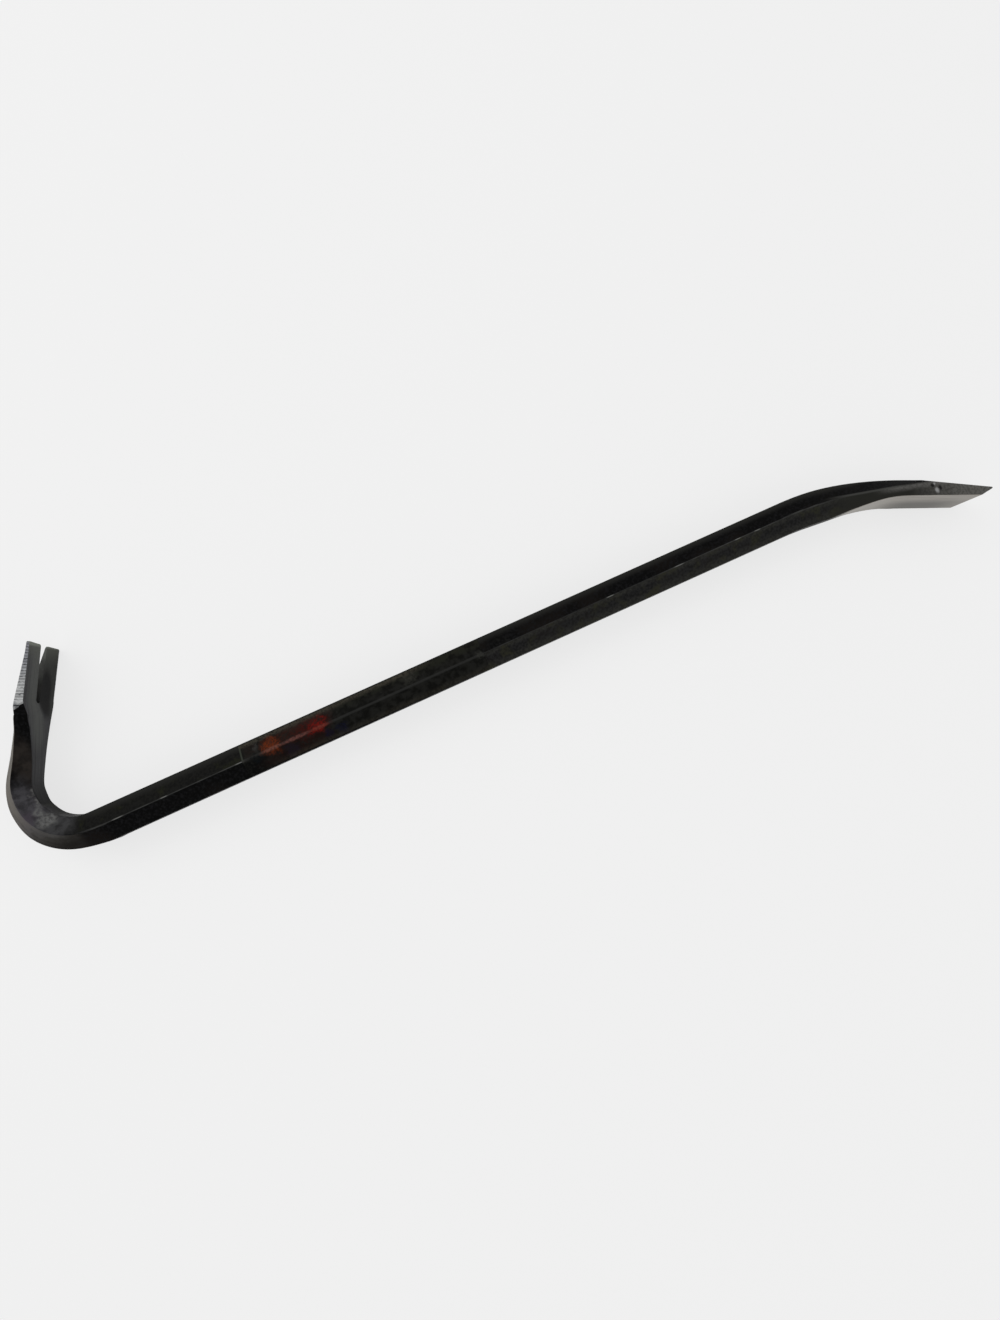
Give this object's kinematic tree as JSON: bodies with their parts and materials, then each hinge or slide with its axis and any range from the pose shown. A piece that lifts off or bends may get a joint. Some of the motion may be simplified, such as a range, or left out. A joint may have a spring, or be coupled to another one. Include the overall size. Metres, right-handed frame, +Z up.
{
  "type": "gooseneck wrecking bar",
  "caption": "Forged hexagon steel wrecking bar with a hooked, split nail claw at one end, a slightly bent flat chisel at the other and a film label on the shank.",
  "frame": {"origin": "under the middle of the overall box, level with the lower side of the claw that the bar lies on", "axes": "+X along the shank from the hook to the chisel; +Y across the shank to the open side of the hook; +Z up, square to the plane of the two bends"},
  "size_m": [0.5792, 0.1408, 0.0312],
  "materials": {
    "lacquered_steel": "thin black lacquer over forging scale, worn on the hook, bare on the claw's sheared sides and under the chisel",
    "label_film": null
  },
  "bodies": {
    "root": {"bar": "lacquered_steel", "label": "label_film"}
  },
  "joints": []
}
